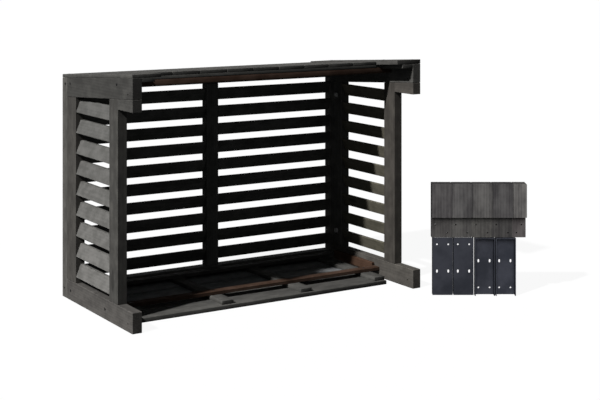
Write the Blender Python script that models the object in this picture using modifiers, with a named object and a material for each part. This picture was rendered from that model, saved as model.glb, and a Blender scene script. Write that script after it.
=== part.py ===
"""Louvred timber screen that stands round an outdoor air conditioner unit.

The screen is open at the back, where two pairs of ears reach to the wall. It has two louvred side
panels, a louvred front panel in two bays, a boarded roof that slopes to the front and a slatted
floor. A set of loose legs and steel brackets stands beside it, face on to the viewer.

Metres, +Z up. X runs across the width, +Y points to the front, away from the wall. The origin is on
the ground in the middle of the screen.
"""

import math

import bmesh
import bpy
from mathutils import Matrix

# Overall sizes
WIDTH = 1.000
DEPTH = 0.408
FRONT_HEIGHT = 0.6858
EAR_REACH = 0.099
ROOF_RISE_SHARE = 0.0686

# Fits and edges
FIT = 0.0003
OVERRUN = 0.006
EASED_EDGE = 0.0012
FUSED_DEPTH = 0.0005

# Side panels
SIDE_THICK = 0.030
REAR_STILE_WIDTH = 0.057
FRONT_STILE_WIDTH = 0.068
BOTTOM_RAIL_HEIGHT = 0.0595
TOP_RAIL_HEIGHT = 0.060
WALL_BLOCK_DROP = 0.030
EAR_HOLE_INSET = 0.029
EAR_HOLE_RADIUS = 0.003
EAR_HOLE_RISE = 0.022
EAR_TOP_HOLE_RISE = 0.012

# Louvres and slats
LOUVRE_HEIGHT = 0.0395
LOUVRE_THICK = 0.0115
LOUVRE_TILT = math.radians(21.4)
GROOVE_DEPTH = 0.008
SIDE_LOUVRE_COUNT = 9
SIDE_LOUVRE_TOP_GAP = 0.0063
SIDE_LOUVRE_BOTTOM_GAP = 0.0181
FRONT_SLAT_COUNT = 10
FRONT_SLAT_TOP_GAP = 0.0163
FRONT_SLAT_BOTTOM_GAP = 0.0173

# Front panel
FRONT_THICK = 0.036
END_STILE_WIDTH = 0.030
CENTRE_POST_WIDTH = 0.044
CENTRE_POST_SHELL = 0.0011
CENTRE_POST_OFFSET = 0.007
FRONT_TOP_RAIL_HEIGHT = 0.0402
FRONT_BOTTOM_RAIL_HEIGHT = 0.0395

# Roof
ROOF_THICK = 0.010
ROOF_BOARD_COUNT = 11
ROOF_BOARD_GAP = 0.001
ROOF_INNER_SETBACK = 0.113
ROOF_STRIP_THICK = 0.0095
ROOF_CLEAT_WIDTH = 0.050
ROOF_CLEAT_THICK = 0.013

# Battens under the roof and over the floor
ROOF_BATTEN_HEIGHT = 0.0178
ROOF_FRONT_BATTEN_SETBACK = 0.0195
BATTEN_WIDTH = 0.029
BATTEN_THICK = 0.011
FLOOR_REAR_BATTEN_SETBACK = 0.081
FLOOR_FRONT_BATTEN_SETBACK = 0.009
SIDE_BATTEN_RISE = 0.016

# Floor
FLOOR_BOARD_THICK = 0.010
FLOOR_BOARD_COUNT = 4
FLOOR_BOARD_GAP = 0.012
FLOOR_END_GAP = 0.034
FLOOR_REAR_SETBACK = 0.006
BEARER_WIDTH = 0.040
BEARER_THICK = 0.014
BEARER_COUNT = 4

# Set of loose legs and brackets, in a row beside the right-hand ears
KIT_INSET = 0.028
KIT_DISTANCE = 0.092
KIT_YAW = math.radians(-32.16)
LEG_WIDTH = 0.0622
CENTRE_LEG_WIDTH = 0.0415
LEG_GAP = 0.0006
LEG_THICK = 0.045
LEG_BODY_HEIGHT = 0.1037
LEG_TONGUE_HEIGHT = 0.0653
LEG_TONGUE_THICK = 0.020
LEG_HOLE_RADIUS = 0.0025
LEG_HOLE_SIDE_INSET = 0.013
LEG_HOLE_END_INSET = 0.014
LEG_HOLE_RISE = 0.025
CORNER_LEG_COUNT = 4
BRACKET_WIDTH = 0.062
BRACKET_HEIGHT = 0.178
BRACKET_DEPTH = 0.024
BRACKET_WALL = 0.0025
BRACKET_GAP = 0.0028
BRACKET_INSET = 0.004
BRACKET_BACK_ON_COUNT = 2
BRACKET_FACE_ON_COUNT = 2
FACE_ON_ADVANCE = 0.012
BRACKET_HOLE_RADIUS = 0.0027
BRACKET_HOLE_SPACING = 0.035
BRACKET_ROUND_HOLE_INSET = 0.021
BRACKET_SLOT_INSET = 0.104
BRACKET_SLOT_LENGTH = 0.010
FLANGE_SLOT_LENGTH = 0.014
HOLE_SIDES = 16

# Places that follow from the sizes above
OUTER_X = WIDTH / 2
INNER_X = OUTER_X - SIDE_THICK
FRONT_Y = DEPTH / 2
BACK_Y = -DEPTH / 2
EAR_Y = BACK_Y - EAR_REACH
PANEL_Y = FRONT_Y - FRONT_THICK
SIDE_FRONT_Y = PANEL_Y - FIT
FRONT_STILE_Y = SIDE_FRONT_Y - FRONT_STILE_WIDTH
REAR_STILE_Y = BACK_Y + REAR_STILE_WIDTH
ROOF_REAR_Y = EAR_Y + ROOF_INNER_SETBACK
BEARER_TOP = FLOOR_BOARD_THICK + BEARER_THICK
FLOOR_BATTEN_Z = BEARER_TOP + FIT
LEFT, RIGHT = -1, 1
HANDS = (("left", LEFT), ("right", RIGHT))

# Finishes: colour, roughness, metallic
STAINED_WOOD = ((0.080, 0.076, 0.068), 0.75, 0.0)
PALE_LOUVRE = ((0.145, 0.138, 0.126), 0.75, 0.0)
RED_BATTEN = ((0.060, 0.028, 0.018), 0.70, 0.0)
DARK_STEEL = ((0.030, 0.034, 0.046), 0.45, 0.8)


def roof_top(y):
    """Height of the roof's upper face at y."""
    return FRONT_HEIGHT + ROOF_RISE_SHARE * (FRONT_Y - y)


def roof_under(y):
    """Height of the roof's lower face at y."""
    return roof_top(y) - ROOF_THICK


def rail_top(y):
    """Height of what the roof rests on, at y."""
    return roof_under(y) - FIT


def rail_under(y):
    """Height of the side top rail's lower face at y."""
    return rail_top(y) - TOP_RAIL_HEIGHT


def stile_top(y):
    """Height of the side stiles' upper ends at y."""
    return rail_under(y) - FIT


def front_rail_under(_y):
    """Height of the front top rail's level lower face."""
    return rail_top(FRONT_Y) - FRONT_TOP_RAIL_HEIGHT


def strip_under(y):
    """Height of the lower face of the flat strips under the roof boards, at y."""
    return roof_under(y) - ROOF_STRIP_THICK


def cleat_under(y):
    """Height of the lower face of the cleats under the roof's edge boards, at y."""
    return roof_under(y) - ROOF_CLEAT_THICK


def batten_under(y):
    """Height of a roof batten's lower edge at y."""
    return strip_under(y) - ROOF_BATTEN_HEIGHT


def fused_into_roof(y):
    """Height that the strips and cleats reach into the boards over them, at y."""
    return roof_under(y) + FUSED_DEPTH


def fused_into_strip(y):
    """Height that the roof battens reach into the strips over them, at y."""
    return strip_under(y) + FUSED_DEPTH


def add_collection(name):
    """Make a collection in the scene."""
    collection = bpy.data.collections.new(name)
    bpy.context.scene.collection.children.link(collection)
    return collection


def add_object(name, mesh, collection, parent=None):
    """Put a mesh in the scene as an object."""
    piece = bpy.data.objects.new(name, mesh)
    piece.parent = parent
    collection.objects.link(piece)
    return piece


def give_finish(piece, finish):
    """Give a piece its own Principled material."""
    colour, roughness, metallic = finish
    material = bpy.data.materials.new(piece.name)
    material.use_nodes = True
    shader = material.node_tree.nodes["Principled BSDF"]
    shader.inputs["Base Color"].default_value = (*colour, 1)
    shader.inputs["Roughness"].default_value = roughness
    shader.inputs["Metallic"].default_value = metallic
    material.diffuse_color = (*colour, 1)
    piece.data.materials.append(material)


def level(limit, y):
    """A height that is either fixed or follows a slope along Y."""
    return limit(y) if callable(limit) else limit


def add_board(bm, x_span, y_span, z_span, turn=None):
    """Add one board to bm, between spans; a z limit may be a function of y."""
    corners = bmesh.ops.create_cube(bm, size=1)["verts"]
    for corner in corners:
        x = x_span[corner.co.x > 0]
        y = y_span[corner.co.y > 0]
        corner.co = (x, y, level(z_span[corner.co.z > 0], y))
    if turn is not None:
        bmesh.ops.transform(bm, matrix=turn, verts=corners)


def ease_edges(piece):
    """Take the sharp edges off a board."""
    bevel = piece.modifiers.new("Eased edges", "BEVEL")
    bevel.width = EASED_EDGE
    bevel.segments = 1
    bevel.limit_method = "ANGLE"


def finish_mesh(name, bm):
    """Turn bm into a mesh."""
    mesh = bpy.data.meshes.new(name)
    bm.to_mesh(mesh)
    bm.free()
    return mesh


def boards(name, finish, spans, parent=None):
    """Straight boards between the given spans, as one object."""
    bm = bmesh.new()
    for x_span, y_span, z_span in spans:
        add_board(bm, x_span, y_span, z_span)
    piece = add_object(name, finish_mesh(name, bm), PARTS, parent)
    give_finish(piece, finish)
    ease_edges(piece)
    return piece


def board(name, finish, x_span, y_span, z_span, parent=None):
    """One straight board as an object of its own."""
    return boards(name, finish, [(x_span, y_span, z_span)], parent)


def combine(piece, operation, bm, parent):
    """Cut the shapes in bm out of a piece, or join them to it; the helper object is returned."""
    name = f"{piece.name}_{operation.lower()}"
    helper = add_object(name, finish_mesh(name, bm), CUTTERS, parent)
    helper.display_type = "WIRE"
    helper.hide_render = True
    boolean = piece.modifiers.new(operation.capitalize(), "BOOLEAN")
    boolean.operation = operation
    boolean.solver = "EXACT"
    boolean.object = helper
    return helper


def cut(piece, bm, parent=None):
    """Cut the shapes in bm out of a piece."""
    combine(piece, "DIFFERENCE", bm, parent)


def fuse(piece, spans):
    """Join boards that cross a group of boards to it, so that they make one deck."""
    bm = bmesh.new()
    for x_span, y_span, z_span in spans:
        add_board(bm, x_span, y_span, z_span)
    ease_edges(combine(piece, "UNION", bm, None))


def add_pin(bm, radius, low, high, sides, turn):
    """Add a round bar from low to high on Z, then turn it into place."""
    place = turn @ Matrix.Translation((0, 0, (low + high) / 2))
    bmesh.ops.create_cone(
        bm, cap_ends=True, segments=sides, radius1=radius, radius2=radius, depth=high - low, matrix=place
    )


def add_slot_bar(bm, radius, length, low, high, turn):
    """Add a bar of oval section, length long in X over its round ends, from low to high on Z."""
    place = Matrix.Translation((0, 0, (low + high) / 2)) @ Matrix.Rotation(math.pi / HOLE_SIDES, 4, "Z")
    made = bmesh.ops.create_cone(
        bm, cap_ends=True, segments=HOLE_SIDES, radius1=radius, radius2=radius, depth=high - low, matrix=place
    )
    for corner in made["verts"]:
        corner.co.x += math.copysign(length / 2 - radius, corner.co.x)
    bmesh.ops.transform(bm, matrix=turn, verts=made["verts"])


def spread(low, high, size, count):
    """Centres of pieces of one size, spread evenly from low to high."""
    step = (high - low - size) / (count - 1)
    return [low + size / 2 + index * step for index in range(count)]


def divide(low, high, gap, count):
    """Limits of boards of equal width that fill the way from low to high, with gaps between them."""
    width = (high - low - (count - 1) * gap) / count
    starts = [low + index * (width + gap) for index in range(count)]
    return [(start, start + width) for start in starts]


def louvre_reach():
    """Depth that a leaning louvre takes up, from its lower outer to its upper inner edge."""
    return LOUVRE_HEIGHT * math.tan(LOUVRE_TILT) + LOUVRE_THICK / math.cos(LOUVRE_TILT)


def side_louvre_heights():
    """Centre heights of the side louvres, from the top down."""
    low = BOTTOM_RAIL_HEIGHT + SIDE_LOUVRE_BOTTOM_GAP
    high = rail_under(FRONT_STILE_Y) - SIDE_LOUVRE_TOP_GAP
    return spread(low, high, LOUVRE_HEIGHT, SIDE_LOUVRE_COUNT)[::-1]


def front_slat_heights():
    """Centre heights of the front slats, from the top down."""
    low = FRONT_BOTTOM_RAIL_HEIGHT + FRONT_SLAT_BOTTOM_GAP
    high = front_rail_under(FRONT_Y) - FRONT_SLAT_TOP_GAP
    return spread(low, high, LOUVRE_HEIGHT, FRONT_SLAT_COUNT)[::-1]


def lean(across, height, hand):
    """Lean what is drawn upright: its foot moves out and its top in; its edges stay level."""
    shear = Matrix.Identity(4)
    shear[across][2] = -hand * math.tan(LOUVRE_TILT)
    return Matrix.Translation((0, 0, height)) @ shear


def add_side_louvre(bm, hand, height, y_span, margin):
    """Add a side louvre, or with a margin the groove that takes it."""
    middle = hand * (OUTER_X - SIDE_THICK / 2)
    half_x = LOUVRE_THICK / math.cos(LOUVRE_TILT) / 2 + margin
    half_z = LOUVRE_HEIGHT / 2 + margin
    add_board(bm, (middle - half_x, middle + half_x), y_span, (-half_z, half_z), lean(0, height, hand))


def centre_post_depth():
    """Depth of the centre post, which holds the leaning slats inside a thin shell."""
    return louvre_reach() + 2 * (FIT + CENTRE_POST_SHELL)


def add_front_slat(bm, height, x_span, margin):
    """Add a front slat, or with a margin the groove that takes it."""
    middle = PANEL_Y + centre_post_depth() / 2
    half_y = LOUVRE_THICK / math.cos(LOUVRE_TILT) / 2 + margin
    half_z = LOUVRE_HEIGHT / 2 + margin
    add_board(bm, x_span, (middle - half_y, middle + half_y), (-half_z, half_z), lean(1, height, 1))


def side_x_span(hand):
    """Limits in X of one side panel, smaller first."""
    return tuple(sorted((hand * OUTER_X, hand * INNER_X)))


def side_stile(label, hand, place, y_span, groove_span):
    """A side panel's stile, with a slanted groove for each louvre's end."""
    z_span = (BOTTOM_RAIL_HEIGHT + FIT, stile_top)
    stile = board(f"{label}_{place}_stile", STAINED_WOOD, side_x_span(hand), y_span, z_span)
    bm = bmesh.new()
    for height in side_louvre_heights():
        add_side_louvre(bm, hand, height, groove_span, FIT)
    cut(stile, bm)


def side_louvres(label, hand):
    """One side panel's louvres, each seated in the grooves of both stiles."""
    y_span = (REAR_STILE_Y - GROOVE_DEPTH + FIT, FRONT_STILE_Y + GROOVE_DEPTH - FIT)
    for number, height in enumerate(side_louvre_heights(), start=1):
        name = f"{label}_louvre_{number}"
        bm = bmesh.new()
        add_side_louvre(bm, hand, height, y_span, 0)
        louvre = add_object(name, finish_mesh(name, bm), PARTS)
        give_finish(louvre, PALE_LOUVRE)
        ease_edges(louvre)


def add_ear_hole(bm, hand, z):
    """Add a hole across an ear, for what holds it to the wall."""
    across = Matrix.Translation((hand * OUTER_X, EAR_Y + EAR_HOLE_INSET, z)) @ Matrix.Rotation(
        hand * math.pi / 2, 4, "Y"
    )
    add_pin(bm, EAR_HOLE_RADIUS, -SIDE_THICK - OVERRUN, OVERRUN, HOLE_SIDES, across)


def bottom_rail(label, hand):
    """A side panel's bottom rail, which runs on as the lower ear."""
    y_span = (EAR_Y, SIDE_FRONT_Y)
    rail = board(f"{label}_bottom_rail", STAINED_WOOD, side_x_span(hand), y_span, (0, BOTTOM_RAIL_HEIGHT))
    bm = bmesh.new()
    add_ear_hole(bm, hand, EAR_HOLE_RISE)
    cut(rail, bm)


def top_rail(label, hand):
    """A side panel's sloped top rail, which runs on as the upper ear."""
    y_span = (EAR_Y, SIDE_FRONT_Y)
    rail = board(f"{label}_top_rail", STAINED_WOOD, side_x_span(hand), y_span, (rail_under, rail_top))
    bm = bmesh.new()
    add_ear_hole(bm, hand, rail_under(EAR_Y) + EAR_TOP_HOLE_RISE)
    cut(rail, bm)


def wall_block(label, hand):
    """The block under the upper ear, with a level lower face."""
    low = rail_under(BACK_Y) - WALL_BLOCK_DROP
    board(f"{label}_wall_block", STAINED_WOOD, side_x_span(hand), (EAR_Y, BACK_Y - FIT), (low, stile_top))


def side_panel(label, hand):
    """One louvred side panel."""
    rear_groove = (REAR_STILE_Y - GROOVE_DEPTH, REAR_STILE_Y + OVERRUN)
    side_stile(label, hand, "rear", (BACK_Y, REAR_STILE_Y), rear_groove)
    front_groove = (FRONT_STILE_Y - OVERRUN, FRONT_STILE_Y + GROOVE_DEPTH)
    side_stile(label, hand, "front", (FRONT_STILE_Y, SIDE_FRONT_Y), front_groove)
    bottom_rail(label, hand)
    top_rail(label, hand)
    wall_block(label, hand)
    side_louvres(label, hand)


def front_end_stile(label, hand):
    """An end stile of the front panel, full height, with grooves for the slats of its bay."""
    inner = OUTER_X - END_STILE_WIDTH
    x_span = tuple(sorted((hand * OUTER_X, hand * inner)))
    stile = board(f"front_{label}_stile", STAINED_WOOD, x_span, (PANEL_Y, FRONT_Y), (0, rail_top))
    bm = bmesh.new()
    groove = tuple(sorted((hand * (inner + GROOVE_DEPTH), hand * (inner - OVERRUN))))
    for height in front_slat_heights():
        add_front_slat(bm, height, groove, FIT)
    cut(stile, bm)


def front_centre_post():
    """The post near the middle of the front panel, which the slats run through in slanted slots."""
    left = CENTRE_POST_OFFSET - CENTRE_POST_WIDTH / 2
    right = left + CENTRE_POST_WIDTH
    y_span = (PANEL_Y, PANEL_Y + centre_post_depth())
    z_span = (FRONT_BOTTOM_RAIL_HEIGHT + FIT, front_rail_under(PANEL_Y) - FIT)
    post = board("front_centre_post", STAINED_WOOD, (left, right), y_span, z_span)
    bm = bmesh.new()
    for height in front_slat_heights():
        add_front_slat(bm, height, (left - OVERRUN, right + OVERRUN), FIT)
    cut(post, bm)


def front_rails():
    """The front panel's top and bottom rails, between its end stiles."""
    reach = OUTER_X - END_STILE_WIDTH - FIT
    y_span = (PANEL_Y, FRONT_Y)
    board("front_top_rail", STAINED_WOOD, (-reach, reach), y_span, (front_rail_under, rail_top))
    board("front_bottom_rail", STAINED_WOOD, (-reach, reach), y_span, (0, FRONT_BOTTOM_RAIL_HEIGHT))


def front_slats():
    """The front panel's slats, each seated in both end stiles and passed through the post."""
    reach = OUTER_X - END_STILE_WIDTH + GROOVE_DEPTH - FIT
    for number, height in enumerate(front_slat_heights(), start=1):
        name = f"front_slat_{number:02d}"
        bm = bmesh.new()
        add_front_slat(bm, height, (-reach, reach), 0)
        slat = add_object(name, finish_mesh(name, bm), PARTS)
        give_finish(slat, STAINED_WOOD)
        ease_edges(slat)


def front_panel():
    """The louvred front panel."""
    for label, hand in HANDS:
        front_end_stile(label, hand)
    front_centre_post()
    front_rails()
    front_slats()


def roof_edge_board(label, hand, x_span):
    """A long outer board of the roof, over the ear, with a cleat fixed under its rear part."""
    edge = board(f"roof_{label}_edge_board", STAINED_WOOD, x_span, (EAR_Y, FRONT_Y), (roof_under, roof_top))
    outer = INNER_X - FIT
    cleat_x = tuple(sorted((hand * outer, hand * (outer - ROOF_CLEAT_WIDTH))))
    cleat_y = (EAR_Y + FUSED_DEPTH, ROOF_REAR_Y - FIT)
    fuse(edge, [(cleat_x, cleat_y, (cleat_under, fused_into_roof))])


def roof_deck(spans):
    """The shorter roof boards, fixed on two flat strips with a batten on edge under each."""
    y_span = (ROOF_REAR_Y, FRONT_Y)
    deck = boards("roof_deck", STAINED_WOOD, [(x_span, y_span, (roof_under, roof_top)) for x_span in spans])
    rear = ROOF_REAR_Y + FUSED_DEPTH
    front = SIDE_FRONT_Y - ROOF_FRONT_BATTEN_SETBACK
    strip_x = (spans[0][0] + FUSED_DEPTH, spans[-1][1] - FUSED_DEPTH)
    strip_z = (strip_under, fused_into_roof)
    rear_strip = (strip_x, (rear, rear + BATTEN_WIDTH), strip_z)
    front_strip = (strip_x, (front - BATTEN_WIDTH, front), strip_z)
    fuse(deck, [rear_strip, front_strip])
    rear += FUSED_DEPTH
    front -= FUSED_DEPTH
    batten_x = (FIT - INNER_X, INNER_X - FIT)
    batten_z = (batten_under, fused_into_strip)
    rear_batten = (batten_x, (rear, rear + BATTEN_THICK), batten_z)
    front_batten = (batten_x, (front - BATTEN_THICK, front), batten_z)
    fuse(deck, [rear_batten, front_batten])


def roof():
    """The boarded roof."""
    spans = divide(-OUTER_X, OUTER_X, ROOF_BOARD_GAP, ROOF_BOARD_COUNT)
    for (label, hand), x_span in zip(HANDS, (spans[0], spans[-1])):
        roof_edge_board(label, hand, x_span)
    roof_deck(spans[1:-1])


def floor_deck():
    """Thin boards on the ground, fixed under bearers that run from front to back."""
    reach = INNER_X - FLOOR_END_GAP
    rear = BACK_Y + FLOOR_REAR_SETBACK
    y_spans = divide(rear, SIDE_FRONT_Y, FLOOR_BOARD_GAP, FLOOR_BOARD_COUNT)
    x_span = (-reach, reach)
    spans = [(x_span, y_span, (0, FLOOR_BOARD_THICK)) for y_span in y_spans]
    deck = boards("floor_deck", STAINED_WOOD, spans)
    z_span = (FLOOR_BOARD_THICK - FUSED_DEPTH, BEARER_TOP)
    half = BEARER_WIDTH / 2
    middles = spread(-reach, reach, BEARER_WIDTH, BEARER_COUNT)
    fuse(deck, [((x - half, x + half), (rear, SIDE_FRONT_Y), z_span) for x in middles])


def floor_battens():
    """Battens over the bearers, front and rear, and on edge along the bottom rails."""
    reach = INNER_X - FIT
    rear = BACK_Y + FLOOR_REAR_BATTEN_SETBACK
    front = SIDE_FRONT_Y - FLOOR_FRONT_BATTEN_SETBACK
    z_span = (FLOOR_BATTEN_Z, FLOOR_BATTEN_Z + BATTEN_THICK)
    board("floor_rear_batten", RED_BATTEN, (-reach, reach), (rear, rear + BATTEN_WIDTH), z_span)
    board("floor_front_batten", RED_BATTEN, (-reach, reach), (front - BATTEN_WIDTH, front), z_span)
    y_span = (rear + BATTEN_WIDTH + FIT, front - BATTEN_WIDTH - FIT)
    for label, hand in HANDS:
        x_span = tuple(sorted((hand * reach, hand * (reach - BATTEN_THICK))))
        upright = (SIDE_BATTEN_RISE, SIDE_BATTEN_RISE + BATTEN_WIDTH)
        board(f"floor_{label}_batten", RED_BATTEN, x_span, y_span, upright)


def kit_row():
    """Empty that carries the loose set: its X runs along the row, its Y away from the viewer."""
    row = add_object("kit_row", None, PARTS)
    row.location = (OUTER_X - KIT_INSET, EAR_Y - KIT_DISTANCE, 0)
    row.rotation_euler.z = KIT_YAW
    return row


def add_leg_holes(bm, left, width, bottom, diagonal):
    """Add a leg's two holes, set diagonally through its tongue."""
    side = width / 2 - LEG_HOLE_SIDE_INSET
    low = bottom + LEG_HOLE_END_INSET
    for end, z in ((LEFT, low + LEG_HOLE_RISE), (RIGHT, low)):
        x = left + width / 2 + diagonal * end * side
        through = Matrix.Translation((x, 0, z)) @ Matrix.Rotation(math.pi / 2, 4, "X")
        add_pin(bm, LEG_HOLE_RADIUS, -LEG_THICK, LEG_THICK, HOLE_SIDES, through)


def loose_leg(name, row, left, width, diagonal):
    """One leg with a thinner tongue below, stood on the brackets."""
    bottom = BRACKET_HEIGHT + FIT
    shoulder = bottom + LEG_TONGUE_HEIGHT
    back = (BRACKET_DEPTH + LEG_TONGUE_THICK) / 2
    front = back - LEG_THICK
    z_span = (bottom, shoulder + LEG_BODY_HEIGHT)
    leg = board(name, STAINED_WOOD, (left, left + width), (front, back), z_span, row)
    recess = bmesh.new()
    x_span = (left - OVERRUN, left + width + OVERRUN)
    add_board(recess, x_span, (front - OVERRUN, back - LEG_TONGUE_THICK), (bottom - OVERRUN, shoulder))
    cut(leg, recess, row)
    holes = bmesh.new()
    add_leg_holes(holes, left, width, bottom, diagonal)
    cut(leg, holes, row)


def loose_legs(row):
    """Four wide legs and, last, the narrower one for the centre post."""
    left = 0
    for number in range(1, CORNER_LEG_COUNT + 1):
        loose_leg(f"corner_leg_{number}", row, left, LEG_WIDTH, RIGHT)
        left += LEG_WIDTH + LEG_GAP
    loose_leg("centre_leg", row, left, CENTRE_LEG_WIDTH, LEFT)


def channel_mesh():
    """One bracket: a channel whose back is at y zero, closed by a flange at its lower end."""
    bm = bmesh.new()
    add_board(bm, (0, BRACKET_WIDTH), (0, BRACKET_DEPTH), (0, BRACKET_HEIGHT))
    open_faces = [face for face in bm.faces if face.normal.y > 0.5 or face.normal.z > 0.5]
    bmesh.ops.delete(bm, geom=open_faces, context="FACES")
    channel = add_object("Channel", finish_mesh("Channel", bm), CUTTERS)
    wall = channel.modifiers.new("Wall", "SOLIDIFY")
    wall.thickness = BRACKET_WALL
    wall.offset = -1
    wall.use_even_offset = True
    wall.use_quality_normals = True
    tools = bmesh.new()
    middle = BRACKET_WIDTH / 2
    low, high = -OVERRUN, BRACKET_WALL + OVERRUN
    inward = Matrix.Rotation(-math.pi / 2, 4, "X")
    upright = Matrix.Rotation(math.pi / 2, 4, "Z")
    for side in (LEFT, RIGHT):
        x = middle + side * BRACKET_HOLE_SPACING / 2
        round_hole = Matrix.Translation((x, 0, BRACKET_HEIGHT - BRACKET_ROUND_HOLE_INSET))
        slot = Matrix.Translation((x, 0, BRACKET_HEIGHT - BRACKET_SLOT_INSET))
        add_pin(tools, BRACKET_HOLE_RADIUS, low, high, HOLE_SIDES, round_hole @ inward)
        add_slot_bar(tools, BRACKET_HOLE_RADIUS, BRACKET_SLOT_LENGTH, low, high, slot @ inward @ upright)
    flange_slot = Matrix.Translation((middle, (BRACKET_DEPTH + BRACKET_WALL) / 2, 0))
    add_slot_bar(tools, BRACKET_HOLE_RADIUS, FLANGE_SLOT_LENGTH, low, high, flange_slot)
    cut(channel, tools)
    made = bpy.data.meshes.new_from_object(channel.evaluated_get(bpy.context.evaluated_depsgraph_get()))
    bpy.data.objects.remove(channel)
    return made


def steel_brackets(row):
    """Brackets in a row: the first are back on, flange down; the others face on, flange up and nearer."""
    shape = channel_mesh()
    for number in range(BRACKET_BACK_ON_COUNT + BRACKET_FACE_ON_COUNT):
        bracket = add_object(f"steel_bracket_{number + 1}", shape.copy(), PARTS, row)
        give_finish(bracket, DARK_STEEL)
        bracket.location.x = BRACKET_INSET + number * (BRACKET_WIDTH + BRACKET_GAP)
        if number >= BRACKET_BACK_ON_COUNT:
            bracket.location.y = BRACKET_DEPTH - FACE_ON_ADVANCE
            bracket.location.z = BRACKET_HEIGHT
            bracket.rotation_euler.x = math.pi


def build():
    """Build the whole screen and its loose set."""
    for label, hand in HANDS:
        side_panel(label, hand)
    front_panel()
    roof()
    floor_deck()
    floor_battens()
    row = kit_row()
    loose_legs(row)
    steel_brackets(row)


for old in list(bpy.data.objects):
    bpy.data.objects.remove(old)
PARTS = add_collection("Air conditioner screen")
CUTTERS = add_collection("Cutters")
build()
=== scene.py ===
"""Looks of the louvred timber screen for an outdoor air conditioner unit.

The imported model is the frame. Its boards, louvres, legs and brackets stay and get finishes here.
The roof and the floor's boards and bearers are rebuilt one by one. Screws and bolts are added.

Metres, +Z up. X runs across the width, +Y points to the louvred front, away from the wall.
"""

from __future__ import annotations

import logging
import math
import random
from dataclasses import dataclass, field, replace
from enum import Enum
from typing import Callable, Iterable, Optional, Union

import bmesh
import bpy
from mathutils import Euler, Matrix, Vector


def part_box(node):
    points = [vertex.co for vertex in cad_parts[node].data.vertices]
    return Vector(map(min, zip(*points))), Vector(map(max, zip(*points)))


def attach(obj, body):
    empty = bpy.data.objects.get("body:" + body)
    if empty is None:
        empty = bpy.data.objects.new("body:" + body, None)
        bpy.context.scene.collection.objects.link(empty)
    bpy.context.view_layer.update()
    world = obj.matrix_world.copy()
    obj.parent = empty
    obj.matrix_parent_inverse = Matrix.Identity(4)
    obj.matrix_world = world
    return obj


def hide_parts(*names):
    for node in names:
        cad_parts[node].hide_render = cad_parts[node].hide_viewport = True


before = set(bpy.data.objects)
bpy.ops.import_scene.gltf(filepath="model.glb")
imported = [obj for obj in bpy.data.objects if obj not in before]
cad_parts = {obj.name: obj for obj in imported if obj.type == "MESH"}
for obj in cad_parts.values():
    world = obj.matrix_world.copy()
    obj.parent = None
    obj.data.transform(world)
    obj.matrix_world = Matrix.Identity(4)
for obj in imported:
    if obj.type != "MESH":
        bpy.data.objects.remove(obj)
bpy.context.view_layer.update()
LOG = logging.getLogger("air_conditioner_screen")

BODY = "root"
MIDDLE_ATTRIBUTE = "board_middle"
SHARP_ANGLE = math.radians(30)
CAMERA_YAW = math.radians(32.16)
BLACK = (0.0, 0.0, 0.0)
WHITE = (1.0, 1.0, 1.0)
UP = Vector((0, 0, 1))

Span = tuple[float, float]
Colour = tuple[float, float, float]
Direction = tuple[float, float, float]
Height = Callable[[float], float]
EVEN: Colour = (1.0, 1.0, 1.0)
Socket = bpy.types.NodeSocket
Node = bpy.types.Node
Material = bpy.types.Material
Piece = bpy.types.Object
SocketValue = Union[float, int, bool, str, tuple, Vector, Socket, Node, Material]


class Slot(Enum):
    """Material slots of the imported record."""

    STAINED_WOOD = "stained_wood"
    PALE_LOUVRE = "pale_louvre"
    RED_BATTEN = "red_batten"
    DARK_STEEL = "dark_steel"


class Grain(Enum):
    """Direction that a board's grain runs in."""

    ACROSS = "X"
    DEEP = "Y"
    UP = "Z"


class Side(Enum):
    """A side panel, by its name in the frame."""

    LEFT = "left"
    RIGHT = "right"


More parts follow.
